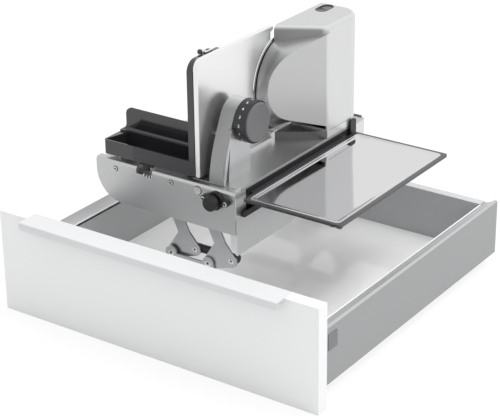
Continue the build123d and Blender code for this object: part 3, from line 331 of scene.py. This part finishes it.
# Nodes with another finish than their slot's; all but the tray's frame get copies of their slot's finish with
# painted light or shade
OWN_FINISH = {
    "motor_housing": "tower_silver_painted_shade",
    "housing_base": "base_silver_painted_shade",
    "knob_holder": "holder_silver_painted_shade",
    "front_plate": "front_plate_silver_painted_shade",
    "side_right": "right_side_grey_painted_shade",
    "tray_frame": "frame_plastic",
    "stop_plate": "stop_plate_silver_painted_light",
    "deck_plate": "deck_silver_painted_shade",
    "rear_plate": "rear_plate_silver_painted_shade",
}
for part in frame["record"]["subparts"]:
    mesh = nodes[part["node"]].data
    mesh.materials.clear()
    mesh.materials.append(materials[OWN_FINISH.get(part["node"], part["material_slot"])])


# Helpers for the pieces made here, in millimetres from the lower left corner of the drawer front's face

ORIGIN_X = 298.0
ORIGIN_Y = 279.5
MM_PER_M = 1000
MERGE_DISTANCE = 1e-6
SHARP_ANGLE = math.radians(35)
TURN_STEPS = 64
CORNER_STEPS = 8
BEVEL_STEPS = 3
X_AXIS = 0
Y_AXIS = 1
Z_AXIS = 2


def at(x, y, z):
    """A point given in millimetres from that corner, as the frame of the model has it."""
    return Vector(((x - ORIGIN_X) / MM_PER_M, (y - ORIGIN_Y) / MM_PER_M, z / MM_PER_M))


def piece(name, bm, finish, body, slot, *replaced):
    """Turn a bmesh into a piece that rides on a body."""
    bmesh.ops.remove_doubles(bm, verts=bm.verts, dist=MERGE_DISTANCE)
    bmesh.ops.recalc_face_normals(bm, faces=bm.faces)
    mesh = bpy.data.meshes.new(name)
    bm.to_mesh(mesh)
    bm.free()
    for polygon in mesh.polygons:
        polygon.use_smooth = True
    mesh.set_sharp_from_angle(angle=SHARP_ANGLE)
    mesh.materials.append(materials[finish])
    made = bpy.data.objects.new(name, mesh)
    bpy.context.scene.collection.objects.link(made)
    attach(made, body)
    if replaced:
        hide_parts(*replaced)


def bridge(bm, rings):
    """Join rings of points, each of one length or a single point."""
    for low, high in zip(rings, rings[1:]):
        count = max(len(low), len(high))
        for step in range(count):
            after = (step + 1) % count
            corners = (
                low[step % len(low)], low[after % len(low)], high[after % len(high)], high[step % len(high)])
            corners = list(dict.fromkeys(corners))
            if len(corners) > 2:
                bm.faces.new(corners)


def lathe(name, axis, centres, profile, finish, body, slot, *replaced):
    """A piece of turned shapes, one at each centre. The profile is (radius, place along the axis)."""
    bm = bmesh.new()
    across = [index for index in range(3) if index != axis]
    for centre in centres:
        rings = []
        for radius, along in profile:
            ring = []
            for step in range(TURN_STEPS if radius > 0 else 1):
                angle = 2 * math.pi * step / TURN_STEPS
                point = [along, along, along]
                point[across[0]] = centre[0] + radius * math.cos(angle)
                point[across[1]] = centre[1] + radius * math.sin(angle)
                ring.append(bm.verts.new(at(*point)))
            rings.append(ring)
        bridge(bm, rings)
    piece(name, bm, finish, body, slot, *replaced)


def fixing(name, centres, face, profile, finish, body, slot, *replaced):
    """A piece of turned shapes on a face that looks to the front. The profile is (radius, height over it)."""
    profile = [(radius, face - height) for radius, height in profile]
    lathe(name, Y_AXIS, centres, profile, finish, body, slot, *replaced)


def disc(radius, low, high):
    """The profile of a disc between two heights."""
    return [(0, low), (radius, low), (radius, high), (0, high)]


def band(inner, outer, height):
    """The profile of a flat ring."""
    return [(inner, 0), (inner, height), (outer, height), (outer, 0), (inner, 0)]


def rounded(name, centre, half, profile, capped, finish, body, slot, *replaced):
    """A piece of rounded rectangles in plan. The profile is (inset, corner radius, height)."""
    bm = bmesh.new()
    rings = []
    for inset, radius, height in profile:
        ring = []
        for quarter, (side_x, side_y) in enumerate(((1, 1), (-1, 1), (-1, -1), (1, -1))):
            for step in range(CORNER_STEPS + 1):
                angle = math.pi / 2 * (quarter + step / CORNER_STEPS)
                x = centre[0] + side_x * (half[0] - inset - radius) + radius * math.cos(angle)
                y = centre[1] + side_y * (half[1] - inset - radius) + radius * math.sin(angle)
                ring.append(bm.verts.new(at(x, y, height)))
        rings.append(ring)
    bridge(bm, rings)
    if capped:
        bm.faces.new(rings[-1])
        bm.faces.new(rings[0])
    piece(name, bm, finish, body, slot, *replaced)


def blocks(name, boxes, finish, body, slot, *replaced):
    """A piece of blocks with rounded edges, each (x0, x1, y0, y1, z0, z1, bevel)."""
    bm = bmesh.new()
    for x0, x1, y0, y1, z0, z1, bevel in boxes:
        low = at(x0, y0, z0)
        high = at(x1, y1, z1)
        size = Matrix.Diagonal((high - low).to_4d())
        size[3][3] = 1
        made = bmesh.ops.create_cube(bm, size=1, matrix=Matrix.Translation((low + high) / 2) @ size)
        edges = list({edge for vertex in made["verts"] for edge in vertex.link_edges})
        bmesh.ops.bevel(
            bm, geom=edges, offset=bevel / MM_PER_M, segments=BEVEL_STEPS, affect="EDGES", profile=0.5)
    piece(name, bm, finish, body, slot, *replaced)


# Thickness dial: its side, its raised disc and the numbers 0 to 9

KNOB_AXIS = (247.0, 310.0)
KNOB_R = 34.5
NUMBERS = 10
NUMBER_STEP = 23.4
NUMBER_FIRST = 223.4
NUMBER_X = 311.6
NUMBER_SIZE = 6.4
NUMBER_WEIGHT = 0.12
NUMBER_RISE = 0.1

lathe("dial_side", X_AXIS, [KNOB_AXIS],
      [(0, 300.6), (34.2, 300.6), (KNOB_R, 300.9), (KNOB_R, 321.6), (34.2, 322.4), (33.4, 322.8),
       (32.9, 322.4), (32.6, 320.5), (0, 320.5)],
      "dial_side", "knob", "anthracite", "thickness_knob", "knob_spindle")
lathe("dial_disc", X_AXIS, [KNOB_AXIS],
      [(0, 320.4), (31.9, 320.4), (31.9, 324.4), (31.6, 325.3), (30.9, 325.8), (30.0, 325.9), (28.6, 325.7),
       (27.8, 325.5), (0, 325.5)],
      "dial_face", "knob", "anthracite")


def dial_numbers():
    """Numbers round the dial's side, each pressed flat to the curved surface."""
    bm = bmesh.new()
    for number in range(NUMBERS):
        curve = bpy.data.curves.new("number", "FONT")
        curve.body = str(number)
        curve.size = NUMBER_SIZE
        curve.align_x = "CENTER"
        curve.align_y = "CENTER"
        curve.offset = NUMBER_WEIGHT
        text = bpy.data.objects.new("number", curve)
        bpy.context.scene.collection.objects.link(text)
        bpy.context.view_layer.update()
        flat = bpy.data.meshes.new_from_object(text)
        start = len(bm.verts)
        bm.from_mesh(flat)
        bm.verts.ensure_lookup_table()
        middle = math.radians(NUMBER_FIRST - NUMBER_STEP * number)
        radius = KNOB_R + NUMBER_RISE
        for vertex in bm.verts[start:]:
            angle = middle - vertex.co.y / KNOB_R
            vertex.co = at(NUMBER_X + vertex.co.x, KNOB_AXIS[0] + radius * math.cos(angle),
                           KNOB_AXIS[1] + radius * math.sin(angle))
        bpy.data.objects.remove(text)
        bpy.data.curves.remove(curve)
        bpy.data.meshes.remove(flat)
    piece("dial_numbers", bm, "print_and_highlight", "knob", "anthracite")


dial_numbers()


# Switch on top of the tower: its frame, sunk field, well and button

SWITCH = (277.0, 511.0)
SWITCH_HALF = (11, 20)
BUTTON = (277.0, 501.5)

rounded("switch_frame", SWITCH, SWITCH_HALF,
        ((0.1, 10.89, 410.0), (0.1, 10.89, 415.2), (0.5, 10.49, 415.6), (1.3, 9.69, 415.6),
         (1.9, 9.09, 415.1), (2.3, 8.69, 413.6)),
        False, "frame_plastic", "chassis", "anthracite")
rounded("switch_field", SWITCH, SWITCH_HALF, ((0.6, 10.39, 410.2), (0.6, 10.39, 413.7)),
        True, "switch_field", "chassis", "anthracite", "switch_bezel")
lathe("switch_well", Z_AXIS, [BUTTON],
      [(8.9, 413.5), (9.3, 414.2), (8.8, 414.6), (8.3, 414.1), (8.3, 413.5), (8.9, 413.5)],
      "frame_plastic", "chassis", "anthracite")
lathe("switch_cap", Z_AXIS, [BUTTON],
      [(0, 405.0), (7.9, 405.0), (7.9, 414.4), (7.6, 414.9), (6.9, 415.0), (5.5, 414.2), (3.0, 413.85),
       (0, 413.75)],
      "frame_plastic", "switch", "black_plastic", "switch_button")


# Screws, disc and pins, with their sunk drives, near-black discs of painted shade in the drives and pin ends,
# and thin painted shadows round the plate screws and the disc

PLATE_FRONT = 172.0
EAR_FRONT = 164.0
BASE_PIN_FRONT = 175.3
PLATE_SCREWS = [(96.1, 205.2), (208.3, 207.8)]
EAR_SCREWS = [(276.0, 200.0), (318.0, 200.0)]
BASE_PINS = [(200.8, 82.0), (273.8, 82.0)]
PIVOT = [(260.4, 207.1)]
SHADOW_HEIGHT = 0.15

fixing("plate_screws", PLATE_SCREWS, PLATE_FRONT,
       [(0, 0), (3.8, 0), (3.8, 1.1), (3.4, 1.6), (1.9, 1.6), (1.6, 0.6), (0, 0.6)],
       "screw_steel", "chassis", "steel", "chassis_screws")
fixing("ear_screws", EAR_SCREWS, EAR_FRONT,
       [(0, 0), (4.1, 0), (4.1, 1.2), (3.6, 1.6), (2.0, 1.6), (1.7, 0.6), (0, 0.6)],
       "screw_steel", "chassis", "steel")
# Painted shade: a near-black disc in each ear screw's drive
fixing("screw_hollows", EAR_SCREWS, EAR_FRONT, disc(1.9, 0.5, 0.9), "hollow", "chassis", "steel")
fixing("pivot_disc", PIVOT, PLATE_FRONT,
       [(0, 0), (6.7, 0), (6.7, 1.5), (6.1, 2.2), (5.2, 2.5), (0, 2.5)],
       "tower_silver_painted_shade", "chassis", "silver", "axle_disc")
fixing("base_pin_rings", BASE_PINS, BASE_PIN_FRONT,
       [(2.4, 0.1), (2.4, 0.4), (5.2, 0.6), (5.8, 0.3), (5.8, 0.05), (2.4, 0.05)],
       "screw_steel", "drawer", "steel")
# Painted shade: a near-black disc in each pin's end
fixing("base_pin_hollows", BASE_PINS, BASE_PIN_FRONT, disc(2.5, 0, 0.2), "hollow", "drawer", "steel")
for side, x, face in (("left", 243.8, 181.8), ("right", 316.8, 179.0)):
    fixing("sync_ring_" + side, [(x, 95.8)], face,
           [(1.9, 0), (1.9, 0.3), (4.4, 0.6), (5.0, 0.3), (5.0, 0), (1.9, 0)],
           "screw_steel", "arms_" + side, "steel")
    # Painted shade: a near-black disc in the pin's end
    fixing("sync_hollow_" + side, [(x, 95.8)], face, disc(2.0, 0, 0.2), "hollow", "arms_" + side, "steel")
# Painted shadow: thin near-black rings round the plate screws' heads
fixing("screw_shadows", PLATE_SCREWS, PLATE_FRONT, band(3.7, 4.8, SHADOW_HEIGHT),
       "hollow", "chassis", "silver")
# Painted shade: a near-black disc in each plate screw's drive
fixing("plate_screw_hollows", PLATE_SCREWS, PLATE_FRONT, disc(1.4, 0.4, 0.8), "hollow", "chassis", "steel")
# Painted shadow: a thin near-black ring round the disc
fixing("disc_shadow", PIVOT, PLATE_FRONT, band(6.7, 7.5, SHADOW_HEIGHT), "hollow", "chassis", "silver")


# Painted shade and highlight along the drawer's sides: a near-black strip in the gap under each lip, and a
# light strip along the lip's edge

STRIP_FRONT = 23.0
STRIP_REAR = 561.0

for side, inner, outward in (("left", 41.2, 1), ("right", 554.8, -1)):
    x0, x1 = sorted((inner, inner + 0.5 * outward))
    # Painted shade: a near-black strip in the gap under the lip
    blocks("side_gap_shade_" + side, [(x0, x1, STRIP_FRONT, STRIP_REAR, 102.6, 105.6, 0.2)],
           "hollow", "drawer", "cover_grey")
    x0, x1 = sorted((inner - 1.6 * outward, inner + 0.7 * outward))
    # Painted highlight: a light strip along the lip's edge
    blocks("side_lip_highlight_" + side, [(x0, x1, STRIP_FRONT, STRIP_REAR, 106.4, 107.9, 0.4)],
           "print_and_highlight", "drawer", "side_grey")


# Catch of the carriage and the small teeth in the front plate's slot, each (x0, x1, top), on a bar

TEETH = ((152.2, 155.0, 209.5), (157.2, 160.6, 207.8), (163.2, 165.8, 209.0), (168.0, 170.4, 210.5))
TEETH_BAR = (152.2, 170.4, 171.6, 173.6, 201.8, 204.0, 0.6)

blocks("catch_hook",
       [(141.0, 168.0, 176.0, 184.0, 221.2, 224.0, 0.8), (148.0, 161.0, 176.0, 180.0, 213.0, 222.0, 1.2)],
       "black_plastic", "carriage_unit", "black_plastic", "carriage_catch")
blocks("slot_teeth", [(x0, x1, 171.4, 174.4, 202.4, top, 0.7) for x0, x1, top in TEETH] + [TEETH_BAR],
       "screw_steel", "chassis", "steel")


# Food clip on the carriage's wall

blocks("clip_body",
       [(235.2, 241.0, 214.0, 240.0, 393.5, 417.6, 1.6), (235.2, 246.0, 222.0, 240.0, 415.2, 417.8, 1.0)],
       "silver", "carriage_unit", "aluminium", "food_clip")
# The clip's hole is a near-black sheet: painted shade in it
rounded("clip_hole", (241.0, 232.0), (1.6, 4.2),
        ((0, 1.59, 417.7), (0, 1.59, 417.95), (1.5, 0.09, 417.95)),
        False, "hollow", "carriage_unit", "aluminium")
lathe("clip_knob", Z_AXIS, [(237.6, 217.0)],
      [(0, 415.0), (3.6, 415.0), (4.3, 417.0), (4.2, 419.0), (3.2, 420.8), (1.6, 421.7), (0, 421.9)],
      "anthracite", "carriage_unit", "aluminium")


# Seam between the tower and its foot, on the right side, drawn as a thin dark strip of painted shade

blocks("tower_seam", [(333.2, 333.6, 441.0, 507.0, 233.1, 233.8, 0.1)], "cover_grey", "chassis", "silver")


# Dish of the tray, with its rolled rim and shallow floor

TRAY_X = (339.5, 516.5)
TRAY_Y = (181.5, 512.0)
TRAY = (sum(TRAY_X) / 2, sum(TRAY_Y) / 2)
TRAY_HALF = ((TRAY_X[1] - TRAY_X[0]) / 2, (TRAY_Y[1] - TRAY_Y[0]) / 2)

rounded("tray_dish", TRAY, TRAY_HALF,
        ((6.4, 7.6, 205.6), (6.4, 7.6, 207.9), (6.8, 7.4, 208.4), (7.6, 7.0, 208.6), (8.6, 6.6, 208.6),
         (9.4, 6.4, 208.2), (9.8, 6.2, 207.7), (11.4, 6.0, 207.6), (12.6, 6.0, 207.3), (13.6, 6.0, 206.7),
         (14.6, 6.0, 206.4), (16.0, 6.0, 206.3)),
        True, "mirror_steel", "chassis", "mirror_steel", "tray_insert")

bpy.context.scene.view_settings.view_transform = "Standard"
